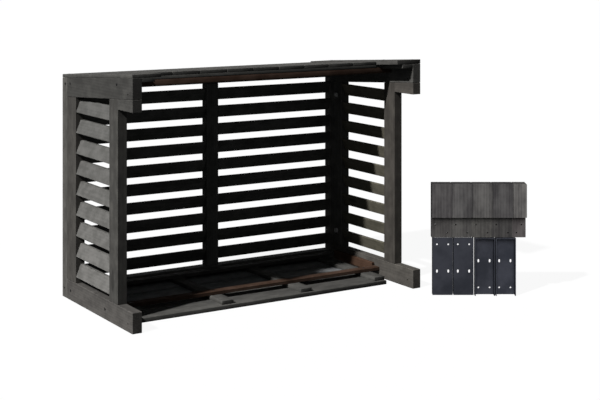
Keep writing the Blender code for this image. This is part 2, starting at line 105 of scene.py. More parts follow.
class NodeSheet:
    """A node tree with short calls that add and join its nodes."""

    def __init__(self, tree: bpy.types.NodeTree) -> None:
        """Work on one tree.

        Args:
            tree: The shader or geometry node tree.
        """
        self.tree = tree

    def feed(self, socket: Socket, value: SocketValue) -> None:
        """Join a socket to another one, or set its value.

        Args:
            socket: The input.
            value: An output, a node whose first output is meant, or a plain value.
        """
        if isinstance(value, Node):
            value = value.outputs[0]
        if isinstance(value, Socket):
            self.tree.links.new(value, socket)
        else:
            socket.default_value = value

    def add(self, kind: str, inputs: Optional[dict] = None, **settings: object) -> Node:
        """Add a node.

        Args:
            kind: The node's type.
            inputs: What its inputs get, by name or number.
            **settings: The node's own options.

        Returns:
            The node.
        """
        node = self.tree.nodes.new(kind)
        for name, value in settings.items():
            setattr(node, name, value)
        self.fill(node, inputs or {})
        return node

    def fill(self, node: Node, inputs: dict) -> None:
        """Join or set some inputs of a node.

        Args:
            node: The node.
            inputs: What they get, by name or number.
        """
        for name, value in inputs.items():
            self.feed(node.inputs[name], value)

    def sum_of(self, operation: str, *values: SocketValue) -> Socket:
        """Add a Math node.

        Args:
            operation: What it does.
            *values: Its inputs, in order.

        Returns:
            Its output.
        """
        inputs = dict(enumerate(values))
        return self.add("ShaderNodeMath", inputs, operation=operation).outputs[0]

    def vector(self, operation: str, *values: SocketValue) -> Socket:
        """Add a Vector Math node.

        Args:
            operation: What it does.
            *values: Its inputs, in order.

        Returns:
            Its vector output.
        """
        inputs = dict(enumerate(values))
        return self.add("ShaderNodeVectorMath", inputs, operation=operation).outputs[0]

    def ramp(
        self, value: SocketValue, low: float, high: float, to_low: float = 0, to_high: float = 1
    ) -> Socket:
        """Map one range smoothly to another.

        Args:
            value: What is mapped.
            low: Value that gives to_low.
            high: Value that gives to_high.
            to_low: Result at and below low.
            to_high: Result at and above high.

        Returns:
            The output.
        """
        inputs = {"Value": value, "From Min": low, "From Max": high}
        inputs |= {"To Min": to_low, "To Max": to_high}
        return self.add("ShaderNodeMapRange", inputs, interpolation_type="SMOOTHSTEP").outputs[0]

    def mix(
        self, share: SocketValue, first: SocketValue, second: SocketValue, blend: str = "MIX"
    ) -> Socket:
        """Mix two colours.

        Args:
            share: How much of the second.
            first: First colour.
            second: Second colour.
            blend: How they are mixed.

        Returns:
            The mixed colour.
        """
        inputs = {0: share, 6: opaque(first), 7: opaque(second)}
        return self.add("ShaderNodeMix", inputs, data_type="RGBA", blend_type=blend).outputs[2]

    def split(self, vector: SocketValue) -> bpy.types.NodeOutputs:
        """Take a vector apart.

        Args:
            vector: The vector.

        Returns:
            Its X, Y and Z outputs.
        """
        return self.add("ShaderNodeSeparateXYZ", {0: vector}).outputs

    def place(self) -> Socket:
        """Find the shaded point.

        Returns:
            Its place in the object's own coordinates.
        """
        return self.add("ShaderNodeTexCoord").outputs["Object"]

    def normal(self) -> Socket:
        """Find the way the flat face looks.

        Returns:
            The direction.
        """
        return self.add("ShaderNodeNewGeometry").outputs["True Normal"]

    def facing(self, lie: Lie) -> tuple[SocketValue, SocketValue]:
        """Read how a face looks beside the grain of its board.

        Args:
            lie: How the board lies.

        Returns:
            How far the face looks along the grain, and the most that it looks along any axis.
        """
        inputs = {"Vector": self.normal(), "Rotation": tuple(lie.turn())}
        turned = self.add("ShaderNodeMapping", inputs, vector_type="VECTOR")
        along, aside, upward = self.split(self.vector("ABSOLUTE", turned))
        return along, self.sum_of("MAXIMUM", self.sum_of("MAXIMUM", along, aside), upward)


def opaque(colour: SocketValue) -> SocketValue:
    """Give a plain colour its fourth number, and leave a socket alone.

    Args:
        colour: Three numbers, or a socket.

    Returns:
        Four numbers, or the socket.
    """
    return (*colour, 1.0) if isinstance(colour, tuple) else colour


def tinted(colour: Colour, stain: Colour, factor: float = 1.0) -> Colour:
    """Lighten, darken or tint a colour.

    Args:
        colour: The colour.
        stain: What each channel is multiplied by.
        factor: What all channels are multiplied by.

    Returns:
        The new colour.
    """
    return tuple(channel * part * factor for channel, part in zip(colour, stain))


def new_material(name: str) -> tuple[Material, NodeSheet, Node]:
    """Make a material with a Principled shader.

    Args:
        name: The material's name.

    Returns:
        The material, its sheet of nodes, and the shader.
    """
    material = bpy.data.materials.new(name)
    material.use_nodes = True
    return material, NodeSheet(material.node_tree), material.node_tree.nodes["Principled BSDF"]


@dataclass(frozen=True)
class Lie:
    """How a board lies: which way its grain runs and how far it is turned about Z."""

    grain: Grain
    yaw: float = 0.0

    def turn(self) -> Euler:
        """Rotation that brings the grain onto X.

        Returns:
            The angles for a Mapping node.
        """
        onto_x = {
            Grain.ACROSS: Matrix.Identity(3),
            Grain.DEEP: Matrix.Rotation(-math.pi / 2, 3, "Z"),
            Grain.UP: Matrix.Rotation(math.pi / 2, 3, "Y"),
        }[self.grain]
        return (onto_x @ Matrix.Rotation(-self.yaw, 3, "Z")).to_euler()


@dataclass(frozen=True)
class Noise:
    """A noise: turns per metre, finer layers, their strength, what its place is multiplied by."""

    scale: float
    detail: float
    rough: float
    pull: Direction = (1.0, 1.0, 1.0)

    def read(self, sheet: NodeSheet, place: SocketValue) -> SocketValue:
        """Add the noise.

        Args:
            sheet: The nodes.
            place: The place, its grain along X.

        Returns:
            Its value.
        """
        inputs = {"Scale": self.scale, "Detail": self.detail, "Roughness": self.rough}
        inputs["Vector"] = sheet.vector("MULTIPLY", place, self.pull)
        return sheet.add("ShaderNodeTexNoise", inputs).outputs[0]


@dataclass(frozen=True)
class Stretch:
    """A stretch of a piece, up to or from a plane, whose colour is multiplied by a tint."""

    axis: str
    plane: float
    beyond: bool
    # The tint: painted skylight on the floor boards, and darker tongues on the legs.
    stain: Colour
    blur: float = 0.001

    def tint(self, sheet: NodeSheet, wood: SocketValue) -> SocketValue:
        """Tint the wood on this stretch.

        Args:
            sheet: The nodes.
            wood: Colour of the wood.

        Returns:
            Colour of the wood with its stretch.
        """
        along = sheet.split(sheet.place())[self.axis]
        before, after = (0, 1) if self.beyond else (1, 0)
        share = sheet.ramp(along, self.plane - self.blur, self.plane + self.blur, before, after)
        return sheet.mix(share, wood, self.stain, "MULTIPLY")


@dataclass(frozen=True)
class WoodFinish:
    """Stained softwood: growth rings, streaks, fibres, blotches, knots, end grain and worn edges.

    Each pattern has its share of the board's tone. A span is where a mask begins and ends. The hop
    is how far apart along the log two boards of a row are read, for each metre between them.
    Faces that look towards the wall keep only a share of their colour: painted shade.
    """

    name: str
    slot: Slot
    dark: Colour
    light: Colour
    end_share: float = 0.80
    torn_share: float = 0.0
    # Share of colour left on faces towards the wall: painted shade.
    wall_shade_share: float = 1.0
    stretch: Optional[Stretch] = None
    edge_share: float = 0.07
    roughness: Span = (0.74, 0.92)
    board_spread: float = 0.05
    ring_scale: float = 38.0
    ring_wander: float = 9.0
    ring_detail: float = 3.0
    ring_detail_scale: float = 0.35
    ring_rough: float = 0.6
    ring_share: float = 0.04
    streak: Noise = Noise(55.0, 2.0, 0.5, (0.035, 1.0, 1.0))
    streak_share: float = 0.10
    fibre: Noise = Noise(620.0, 3.0, 0.65, (0.035, 1.0, 1.0))
    fibre_share: float = 0.14
    blotch: Noise = Noise(9.0, 4.0, 0.6, (0.30, 1.0, 1.0))
    blotch_share: float = 0.30
    mottle: Noise = Noise(36.0, 3.0, 0.6, (0.70, 1.0, 1.0))
    mottle_share: float = 0.42
    torn: Noise = Noise(240.0, 2.0, 0.7)
    torn_span: Span = (0.50, 0.64)
    tone_span: Span = (0.39, 0.63)
    fibre_span: Span = (0.3, 0.7)
    # Where the painted shade on faces towards the wall begins and ends.
    wall_shade_span: Span = (-0.95, -0.80)
    end_span: Span = (0.75, 0.85)
    edge_span: Span = (0.80, 0.88)
    wear_span: Span = (0.35, 0.6)
    least_wear: float = 0.2
    knot_scale: float = 7.0
    knot_size: Span = (0.050, 0.075)
    knot_depth: float = 0.6
    specular: float = 0.18
    bump_height: float = 0.0004
    bump_strength: float = 0.25
    ring_relief: float = 0.35
    knot_tone: float = 0.45
    worn_tone: float = 1.9
    log_reach: float = 60.0
    pith_aside: Span = (0.012, 0.045)
    pith_below: Span = (0.02, 0.07)
    hop: float = 97.0

    def grained_place(
        self, sheet: NodeSheet, lie: Lie, middle: Optional[Vector], draw: random.Random
    ) -> SocketValue:
        """Find where the patterns are read: the grain runs along X, from a point in the log.

        Args:
            sheet: The nodes.
            lie: How the boards lie.
            middle: Middle of the piece, or None where each board carries its own middle.
            draw: Draws where in the log the board comes from.

        Returns:
            The place.
        """
        pith = (
            draw.uniform(-self.log_reach, self.log_reach),
            draw.choice((-1, 1)) * draw.uniform(*self.pith_aside),
            draw.uniform(*self.pith_below),
        )
        if middle is None:
            carried = sheet.add("ShaderNodeAttribute", attribute_name=MIDDLE_ATTRIBUTE)
            own = carried.outputs["Vector"]
        else:
            own = tuple(middle)
        inputs = {"Location": pith, "Rotation": tuple(lie.turn())}
        inputs["Vector"] = sheet.vector("SUBTRACT", sheet.place(), own)
        grained = sheet.add("ShaderNodeMapping", inputs)
        if middle is not None:
            return grained
        hop = sheet.vector("MULTIPLY", own, (self.hop, self.hop, 0.0))
        along = sheet.sum_of("ADD", *sheet.split(hop)[:2])
        return sheet.vector("ADD", grained, sheet.add("ShaderNodeCombineXYZ", {"X": along}))

    def material(
        self, name: str, lie: Lie, middle: Optional[Vector], seed: int, stain: Colour = EVEN
    ) -> Material:
        """Make the finish for one piece.

        Args:
            name: The piece's name.
            lie: How its boards lie.
            middle: Middle of the piece, or None where each board carries its own middle.
            seed: Number that picks this piece's grain.
            stain: What this piece's coat does to each channel.

        Returns:
            The material.
        """
        draw = random.Random(seed)
        made, sheet, shader = new_material(f"{self.name}_{name}")
        factor = 1 + draw.uniform(-self.board_spread, self.board_spread)
        dark, light = tinted(self.dark, stain, factor), tinted(self.light, stain, factor)
        worn_light = tinted(light, EVEN, self.worn_tone)
        grained = self.grained_place(sheet, lie, middle, draw)
        end, edge, wall = self.masks(sheet, lie)
        rings = self.rings(sheet, sheet.vector("MULTIPLY", grained, self.fibre.pull))
        fibre = self.fibre.read(sheet, grained)
        blotch = self.blotch.read(sheet, grained)
        tone = sheet.sum_of("MULTIPLY", rings, self.ring_share)
        for pattern, share in (
            (self.streak.read(sheet, grained), self.streak_share),
            (fibre, self.fibre_share),
            (blotch, self.blotch_share),
            (self.mottle.read(sheet, grained), self.mottle_share),
        ):
            tone = sheet.sum_of("MULTIPLY_ADD", pattern, share, tone)
        tone = sheet.ramp(tone, *self.tone_span)
        patchy = sheet.vector("MULTIPLY", grained, self.blotch.pull)
        knots = {"Vector": patchy, "Scale": self.knot_scale}
        knot = sheet.add("ShaderNodeTexVoronoi", knots).outputs["Distance"]
        knot = sheet.ramp(knot, *self.knot_size, self.knot_depth, 0)

        wood = sheet.mix(tone, dark, light)
        wood = sheet.mix(knot, wood, tinted(self.dark, stain, self.knot_tone))
        patches = sheet.ramp(blotch, *self.wear_span, self.least_wear, 1)
        worn = sheet.sum_of("MULTIPLY", edge, patches)
        wood = sheet.mix(sheet.sum_of("MULTIPLY", worn, self.edge_share), wood, worn_light)
        ends = (tinted(colour, EVEN, self.end_share) for colour in (dark, light))
        cut_end = sheet.mix(tone, *ends)
        torn = sheet.ramp(self.torn.read(sheet, grained), *self.torn_span, 0, self.torn_share)
        wood = sheet.mix(end, wood, sheet.mix(torn, cut_end, worn_light))
        if self.stretch is not None:
            wood = self.stretch.tint(sheet, wood)
        relief = sheet.sum_of("MULTIPLY_ADD", rings, self.ring_relief, fibre)
        bump = {"Height": relief, "Distance": self.bump_height, "Strength": self.bump_strength}
        looks = {
            # Faces that look towards the wall are darkened: painted shade.
            "Base Color": sheet.mix(wall, BLACK, wood),
            "Roughness": sheet.ramp(fibre, *self.fibre_span, *self.roughness),
            "Specular IOR Level": self.specular,
            "Normal": sheet.add("ShaderNodeBump", bump),
        }
        sheet.fill(shader, looks)
        return made

    def masks(self, sheet: NodeSheet, lie: Lie) -> tuple[SocketValue, SocketValue, SocketValue]:
        """Tell end grain, eased edges and faces towards the wall apart by the way a face looks.

        Args:
            sheet: The nodes.
            lie: How the boards lie.

        Returns:
            How far a face is end grain, how far it is an edge, and how much colour the painted
            shade leaves.
        """
        along, widest = sheet.facing(lie)
        end = sheet.ramp(along, *self.end_span)
        edge = sheet.ramp(widest, *self.edge_span, 1, 0)
        # Painted shade: faces that look towards the wall keep only part of their colour.
        wall = sheet.ramp(sheet.split(sheet.normal())["Y"], *self.wall_shade_span, self.wall_shade_share, 1)
        return end, edge, wall

    def rings(self, sheet: NodeSheet, place: SocketValue) -> SocketValue:
        """Add the growth rings, round a pith that lies outside the board.

        Args:
            sheet: The nodes.
            place: Where they are read.

        Returns:
            Their value.
        """
        inputs = {
            "Vector": place,
            "Scale": self.ring_scale,
            "Distortion": self.ring_wander,
            "Detail": self.ring_detail,
            "Detail Scale": self.ring_detail_scale,
            "Detail Roughness": self.ring_rough,
        }
        rings = sheet.add("ShaderNodeTexWave", inputs, wave_type="RINGS", rings_direction="X")
        return rings.outputs["Fac"]


@dataclass(frozen=True)
class SteelFinish:
    """Coated sheet steel with a fine orange-peel skin and rubbed edges."""

    name: str
    slot: Slot
    dark: Colour
    light: Colour
    metallic: float
    roughness: Span
    skin: Noise = Noise(900.0, 2.0, 0.5)
    cloud: Noise = Noise(14.0, 4.0, 0.6)
    cloud_span: Span = (0.35, 0.65)
    sheen_span: Span = (0.3, 0.7)
    bump_height: float = 0.00012
    bump_strength: float = 0.3
    edge_span: Span = (0.80, 0.95)
    edge_share: float = 0.5
    rubbed_tone: float = 2.2

    def material(self, name: str, lie: Lie, coat: float = 1.0) -> Material:
        """Make the finish for one piece.

        Args:
            name: The piece's name.
            lie: How the piece lies.
            coat: How light this piece's coat is; on the brackets partly painted light.

        Returns:
            The material.
        """
        dark, light = tinted(self.dark, EVEN, coat), tinted(self.light, EVEN, coat)
        made, sheet, shader = new_material(f"{self.name}_{name}")
        cloud = self.cloud.read(sheet, sheet.place())
        _along, widest = sheet.facing(lie)
        edge = sheet.ramp(widest, *self.edge_span, self.edge_share, 0)
        coated = sheet.mix(sheet.ramp(cloud, *self.cloud_span), dark, light)
        rubbed = tinted(light, EVEN, self.rubbed_tone)
        skin = self.skin.read(sheet, sheet.place())
        bump = {"Height": skin, "Distance": self.bump_height, "Strength": self.bump_strength}
        looks = {
            "Base Color": sheet.mix(edge, coated, rubbed),
            "Roughness": sheet.ramp(cloud, *self.sheen_span, *self.roughness),
            "Metallic": self.metallic,
            "Normal": sheet.add("ShaderNodeBump", bump),
        }
        sheet.fill(shader, looks)
        return made


# The share of colour left on faces towards the wall, in these finishes, is painted shade.
FRAME_WOOD = WoodFinish(
    "grey_stain", Slot.STAINED_WOOD, (0.063, 0.061, 0.057), (0.108, 0.105, 0.097),
    wall_shade_share=0.5, torn_share=0.18,
)
LOUVRE_WOOD = WoodFinish(
    "pale_stain", Slot.PALE_LOUVRE, (0.128, 0.126, 0.118), (0.190, 0.186, 0.176),
    board_spread=0.03, blotch_share=0.16, mottle_share=0.56,
)
STRIP_WOOD = WoodFinish(
    "strip_stain", Slot.STAINED_WOOD, (0.066, 0.065, 0.060), (0.112, 0.110, 0.103), wall_shade_share=0.55
)
SLAT_WOOD = WoodFinish(
    "dark_stain", Slot.STAINED_WOOD, (0.045, 0.045, 0.042), (0.090, 0.088, 0.083)
)
LEG_WOOD = WoodFinish(
    "leg_stain", Slot.STAINED_WOOD, (0.052, 0.050, 0.051), (0.138, 0.135, 0.131), end_share=1.0,
    # The tongues, below this height, are darker.
    stretch=Stretch("Z", plane=0.2433, beyond=False, stain=(0.84, 0.84, 0.81)),
    streak_share=0.14, blotch_share=0.42, mottle_share=0.26,
    blotch=Noise(15.0, 4.0, 0.6, (0.30, 1.0, 1.0)), mottle=Noise(30.0, 3.0, 0.6, (0.70, 1.0, 1.0)),
)
BATTEN_WOOD = WoodFinish(
    "red_stain", Slot.RED_BATTEN, (0.044, 0.022, 0.013), (0.090, 0.054, 0.039), wall_shade_share=0.60
)
BRACKET_STEEL = SteelFinish(
    "coated_steel", Slot.DARK_STEEL, (0.027, 0.030, 0.042), (0.044, 0.047, 0.063),
    metallic=0.35, roughness=(0.42, 0.58),
)
BOLT_STEEL = SteelFinish(
    "zinc_steel", Slot.DARK_STEEL, (0.34, 0.34, 0.33), (0.46, 0.46, 0.45),
    metallic=0.3, roughness=(0.35, 0.55),
)
# Near-black screw heads: dark steel, and painted shade of the sunk holes they sit in.
SCREW_AND_HOLE_SHADE_STEEL = SteelFinish(
    "blackened_steel", Slot.DARK_STEEL, (0.010, 0.010, 0.011), (0.018, 0.018, 0.019),
    metallic=0.6, roughness=(0.40, 0.60),
)

BOARD_STAINS: dict[Side, dict[str, Colour]] = {
    Side.LEFT: {
        "top_rail": (0.70, 0.70, 0.70),
        "wall_block": (0.76, 0.76, 0.76),
        "front_stile": (0.82, 0.79, 0.77),
        "bottom_rail": (1.12, 1.08, 1.08),
        "rear_stile": (0.93, 0.92, 0.91),
    },
    Side.RIGHT: {
        "rear_stile": (0.74, 0.69, 0.65),
        "bottom_rail": (0.96, 0.91, 0.87),
        "wall_block": (1.06, 0.99, 0.94),
    },
}
# Painted shade on each side panel's faces towards the wall.
WALL_SHADE_SHARES: dict[Side, float] = {Side.LEFT: 0.50, Side.RIGHT: 0.72}
EDGE_THICKS: dict[Side, float] = {Side.LEFT: 0.010, Side.RIGHT: 0.0135}
EDGE_STAINS: dict[Side, Colour] = {Side.LEFT: EVEN, Side.RIGHT: (0.81, 0.80, 0.80)}
LOUVRE_STAINS: dict[Side, tuple[Colour, Colour]] = {
    Side.LEFT: ((0.66, 0.66, 0.66), (0.92, 0.91, 0.91)),
    Side.RIGHT: ((0.80, 0.74, 0.60), (0.70, 0.66, 0.53)),
}
LEG_STAINS: dict[str, Colour] = {
    "corner_leg_1": (0.80, 0.77, 0.79),
    "corner_leg_2": (0.97, 0.95, 0.96),
    "corner_leg_3": (1.03, 1.01, 1.0),
    "corner_leg_4": (0.92, 0.90, 0.92),
    "centre_leg": (1.38, 1.35, 1.32),
}
# How light each bracket's coat is; the lighter third and fourth are partly painted light that lifts
# the shade in their channels.
BRACKET_COATS_AND_LIGHT: dict[str, float] = {
    "steel_bracket_1": 0.87,
    "steel_bracket_2": 0.88,
    "steel_bracket_3": 1.0,
    "steel_bracket_4": 1.22,
}
CENTRE_TONGUE: Colour = (0.69, 0.65, 0.67)
SIDE_SEEDS: dict[Side, int] = {Side.LEFT: 100, Side.RIGHT: 300}
FRONT_SEED = 500
FLOOR_SEED = 800
LEG_SEED = 900
LOUVRE_SEED_STEP = 50


def wear(node: str, material: Material) -> None:
    """Give a carried-over part of the frame its finish.

    Args:
        node: The part's name.
        material: The finish.
    """
    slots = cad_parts[node].data.materials
    slots.clear()
    slots.append(material)


def wear_wood(node: str, finish: WoodFinish, lie: Lie, seed: int, stain: Colour = EVEN) -> None:
    """Give a carried-over board its finish.

    Args:
        node: The board's name.
        finish: The wood.
        lie: How the board lies.
        seed: Number that picks its grain.
        stain: What its coat does to each channel.
    """
    wear(node, finish.material(node, lie, middle_of(node), seed, stain))


def middle_of(node: str) -> Vector:
    """Find the middle of a part of the frame.

    Args:
        node: The part's name.

    Returns:
        The middle.
    """
    low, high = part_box(node)
    return (low + high) / 2


def finish_mesh(name: str, bm: bmesh.types.BMesh) -> Piece:
    """Turn a mesh under work into an object at the origin.

    Args:
        name: The object's name.
        bm: The mesh, which is freed.

    Returns:
        The object.
    """
    mesh = bpy.data.meshes.new(name)
    bm.to_mesh(mesh)
    bm.free()
    piece = bpy.data.objects.new(name, mesh)
    bpy.context.scene.collection.objects.link(piece)
    return piece


def bake_down(piece: Piece) -> None:
    """Turn a piece and its live modifiers into a plain mesh, shaded smooth up to a sharp angle.

    Args:
        piece: The piece.
    """
    graph = bpy.context.evaluated_depsgraph_get()
    seen = piece.evaluated_get(graph)
    mesh = bpy.data.meshes.new_from_object(seen, preserve_all_data_layers=True, depsgraph=graph)
    mesh.name = piece.name
    piece.modifiers.clear()
    piece.data = mesh
    mesh.shade_smooth()
    mesh.set_sharp_from_angle(angle=SHARP_ANGLE)


def hand_over(piece: Piece, slot: Slot, *nodes: str) -> None:
    """Make a finished piece ride on the frame.

    Args:
        piece: The piece.
        slot: The record's slot that its finish belongs to; not used.
        *nodes: Parts of the frame that it stands for.
    """
    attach(piece, BODY)
    if nodes:
        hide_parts(*nodes)
    LOG.info("%s: %d faces", piece.name, len(piece.data.polygons))


SOCKET_KINDS: dict[type, str] = {
    int: "NodeSocketInt",
    float: "NodeSocketFloat",
    tuple: "NodeSocketVector",
    type(None): "NodeSocketMaterial",
}


class NodeTool:
    """Base of the geometry tools: a tree with named inputs, and how it is put on a piece."""

    tree: bpy.types.NodeTree

    def open_tree(self, name: str, inputs: dict[str, SocketValue]) -> NodeSheet:
        """Start the tree.

        Args:
            name: The tree's name.
            inputs: First value of each input after the geometry, or None for a material.

        Returns:
            The sheet of nodes.
        """
        self.tree = bpy.data.node_groups.new(name, "GeometryNodeTree")
        face = self.tree.interface
        face.new_socket("Geometry", in_out="INPUT", socket_type="NodeSocketGeometry")
        for label, value in inputs.items():
            socket = face.new_socket(label, in_out="INPUT", socket_type=SOCKET_KINDS[type(value)])
            if value is not None:
                socket.default_value = value
        face.new_socket("Geometry", in_out="OUTPUT", socket_type="NodeSocketGeometry")
        return NodeSheet(self.tree)

    @staticmethod
    def close_tree(sheet: NodeSheet, copies: Node, material: Socket) -> None:
        """End the tree: its copies are made real and get their material.

        Args:
            sheet: The nodes.
            copies: The node that gives the copies.
            material: The input that holds the material.
        """
        real = sheet.add("GeometryNodeRealizeInstances", {"Geometry": copies})
        dressed = sheet.add("GeometryNodeSetMaterial", {"Geometry": real, "Material": material})
        sheet.add("NodeGroupOutput", {"Geometry": dressed})

    def put_on(self, piece: Piece, values: dict[str, SocketValue]) -> None:
        """Put the tree on a piece, set its inputs by identifier and make the result a plain mesh.

        Args:
            piece: The piece.
            values: What each named input gets.
        """
        modifier = piece.modifiers.new(self.tree.name, "NODES")
        modifier.node_group = self.tree
        for item in self.tree.interface.items_tree:
            if item.in_out == "INPUT" and item.name in values:
                modifier[item.identifier] = values[item.name]
        bake_down(piece)


class BoardRow(NodeTool):
    """Repeats one board at even steps; each copy keeps its own middle for its grain."""

    def __init__(self) -> None:
        """Build the tree."""
        inputs = {"Count": 2, "Step": (0.1, 0.0, 0.0), "Middle": (0.0, 0.0, 0.0)}
        inputs |= {"Play": (0.0, 0.0, 0.0), "Seed": 1, "Material": None}
        sheet = self.open_tree("Board row", inputs)
        given = sheet.add("NodeGroupInput").outputs
        steps = {"Count": given["Count"], "Offset": given["Step"]}
        line = sheet.add("GeometryNodeMeshLine", steps, mode="OFFSET")
        inputs = {"Points": line, "Instance": given["Geometry"]}
        copies = sheet.add("GeometryNodeInstanceOnPoints", inputs)
        place = sheet.vector("ADD", sheet.add("GeometryNodeInputPosition"), given["Middle"])
        inputs = {"Geometry": copies, "Name": MIDDLE_ATTRIBUTE, "Value": place}
        stored = {"data_type": "FLOAT_VECTOR", "domain": "INSTANCE"}
        named = sheet.add("GeometryNodeStoreNamedAttribute", inputs, **stored)
        reach = sheet.vector("MULTIPLY", given["Play"], (-1.0, -1.0, -1.0))
        reaches = {0: reach, 1: given["Play"], "Seed": given["Seed"]}
        chance = sheet.add("FunctionNodeRandomValue", reaches, data_type="FLOAT_VECTOR")
        inputs = {"Instances": named, "Translation": chance}
        moved = sheet.add("GeometryNodeTranslateInstances", inputs)
        self.close_tree(sheet, moved, given["Material"])


class ScrewField(NodeTool):
    """Puts a screw head with a cross recess on each point, all facing one way."""

    recess_share: float = 0.8
    rim_share: float = 0.88
    rim_steps: int = 20

    def __init__(self) -> None:
        """Build the tree."""
        inputs = {"Head Diameter": 0.007, "Head Depth": 0.002, "Proud": 0.0003}
        inputs |= {"Recess Width": 0.001, "Recess Length": 0.004, "Facing": (0.0, 0.0, 1.0)}
        sheet = self.open_tree("Screw field", {**inputs, "Seed": 1, "Material": None})
        given = sheet.add("NodeGroupInput").outputs
        head = self.head(sheet, given)
        facing = {"Vector": given["Facing"]}
        aimed = sheet.add("FunctionNodeAlignRotationToVector", facing, axis="Z")
        reaches = {3: math.pi, "Seed": given["Seed"]}
        chance = sheet.add("FunctionNodeRandomValue", reaches, data_type="FLOAT")
        spin = {"Axis": (0.0, 0.0, 1.0), "Angle": chance.outputs[1]}
        spin = sheet.add("FunctionNodeAxisAngleToRotation", spin)
        turns = {0: aimed, 1: spin}
        turned = sheet.add("FunctionNodeRotateRotation", turns, rotation_space="LOCAL")
        points = sheet.add("GeometryNodeMeshToPoints", {"Mesh": given["Geometry"]})
        inputs = {"Points": points, "Instance": head, "Rotation": turned}
        self.close_tree(sheet, sheet.add("GeometryNodeInstanceOnPoints", inputs), given["Material"])

    def head(self, sheet: NodeSheet, given: bpy.types.NodeOutputs) -> Node:
        """One screw head about the origin, its face just above z zero.

        Args:
            sheet: The nodes.
            given: The tree's inputs.

        Returns:
            The node that gives the head.
        """
        radius = sheet.sum_of("MULTIPLY", given["Head Diameter"], 0.5)
        rim = sheet.sum_of("MULTIPLY", radius, self.rim_share)
        cone = {"Vertices": self.rim_steps, "Radius Top": rim, "Radius Bottom": radius}
        cone = sheet.add("GeometryNodeMeshCone", {**cone, "Depth": given["Head Depth"]})
        drop = sheet.sum_of("SUBTRACT", given["Proud"], given["Head Depth"])
        seat = sheet.add("ShaderNodeCombineXYZ", {"Z": drop})
        body = sheet.add("GeometryNodeTransform", {"Geometry": cone, "Translation": seat})
        bars = sheet.add("GeometryNodeMeshBoolean", operation="UNION", solver="EXACT")
        height = sheet.sum_of("MULTIPLY", given["Proud"], 2 * self.recess_share)
        for first, second in (("X", "Y"), ("Y", "X")):
            size = {first: given["Recess Length"], second: given["Recess Width"], "Z": height}
            size = sheet.add("ShaderNodeCombineXYZ", size)
            cube = sheet.add("GeometryNodeMeshCube", {"Size": size})
            sheet.feed(bars.inputs["Mesh 2"], cube)
        face = sheet.add("ShaderNodeCombineXYZ", {"Z": given["Proud"]})
        cross = sheet.add("GeometryNodeTransform", {"Geometry": bars, "Translation": face})
        inputs = {"Mesh 1": body, "Mesh 2": cross}
        return sheet.add("GeometryNodeMeshBoolean", inputs, operation="DIFFERENCE", solver="EXACT")


@dataclass(frozen=True)
class Screw:
    """A kind of screw: width and depth of its head, how proud that stands, and its finish."""

    head: float
    depth: float
    proud: float
    finish: SteelFinish


WOOD_SCREW = Screw(head=0.0092, depth=0.0016, proud=0.0004, finish=SCREW_AND_HOLE_SHADE_STEEL)
JOINING_BOLT = Screw(head=0.017, depth=0.007, proud=0.005, finish=BOLT_STEEL)


@dataclass
class BoardKit:
    """Sizes and tools that boards and screws share. A recess is measured in widths of its head."""

    eased_edge: float = 0.0014
    edge_steps: int = 2
    recess_width: float = 1 / 7
    recess_length: float = 0.6
    row_tool: BoardRow = field(default_factory=BoardRow)
    screw_tool: ScrewField = field(default_factory=ScrewField)

    def screws(
        self, name: str, points: Iterable[Vector], facing: Vector, kind: Screw = WOOD_SCREW
    ) -> None:
        """Put screw heads on a surface.

        Args:
            name: Name of the set.
            points: Point on the surface for each screw.
            facing: The way the surface looks.
            kind: Kind of screw.
        """
        bm = bmesh.new()
        for point in points:
            bm.verts.new(point)
        values = {
            "Head Diameter": kind.head,
            "Head Depth": kind.depth,
            "Proud": kind.proud,
            "Recess Width": kind.head * self.recess_width,
            "Recess Length": kind.head * self.recess_length,
            "Facing": tuple(facing),
            "Seed": len(bm.verts),
            "Material": kind.finish.material(name, Lie(Grain.ACROSS)),
        }
        piece = finish_mesh(name, bm)
        self.screw_tool.put_on(piece, values)
        hand_over(piece, kind.finish.slot)


def level(_y: float) -> float:
    """Height of the ground.

    Args:
        _y: Any depth; not used.

    Returns:
        Zero.
    """
    return 0.0


@dataclass
class Course:
    """A course of alike boards: the first one's limits, the finish and the nodes it stands for.

    The heights of its faces are over a base, which may slope. The step leads from each board to
    the next, and the play is how far one may lie off its place. The count also picks the grain,
    and the length of the name picks how the boards lie.
    """

    name: str
    x_span: Span
    y_span: Span
    heights: Span
    finish: WoodFinish
    grain: Grain
    base: Height = level
    nodes: tuple[str, ...] = ()
    count: int = 1
    step: Direction = (0, 0, 0)
    play: Direction = (0, 0, 0)
    stain: Colour = EVEN

    def lay(self, kit: BoardKit) -> None:
        """Build the boards with eased edges and hand them over as one plain mesh.

        Args:
            kit: Sizes and tools.
        """
        bm = bmesh.new()
        for corner in bmesh.ops.create_cube(bm, size=1)["verts"]:
            x, y = self.x_span[corner.co.x > 0], self.y_span[corner.co.y > 0]
            corner.co = (x, y, self.base(y) + self.heights[corner.co.z > 0])
        middle = sum((corner.co for corner in bm.verts), Vector()) / len(bm.verts)
        piece = finish_mesh(self.name, bm)
        bevel = piece.modifiers.new("Eased edges", "BEVEL")
        bevel.width = kit.eased_edge
        bevel.segments = kit.edge_steps
        bevel.limit_method = "ANGLE"
        material = self.finish.material(self.name, Lie(self.grain), None, self.count, self.stain)
        step, play = (tuple(map(float, way)) for way in (self.step, self.play))
        values = {"Count": self.count, "Step": step, "Middle": tuple(middle), "Play": play}
        values |= {"Seed": len(self.name), "Material": material}
        kit.row_tool.put_on(piece, values)
        hand_over(piece, self.finish.slot, *self.nodes)


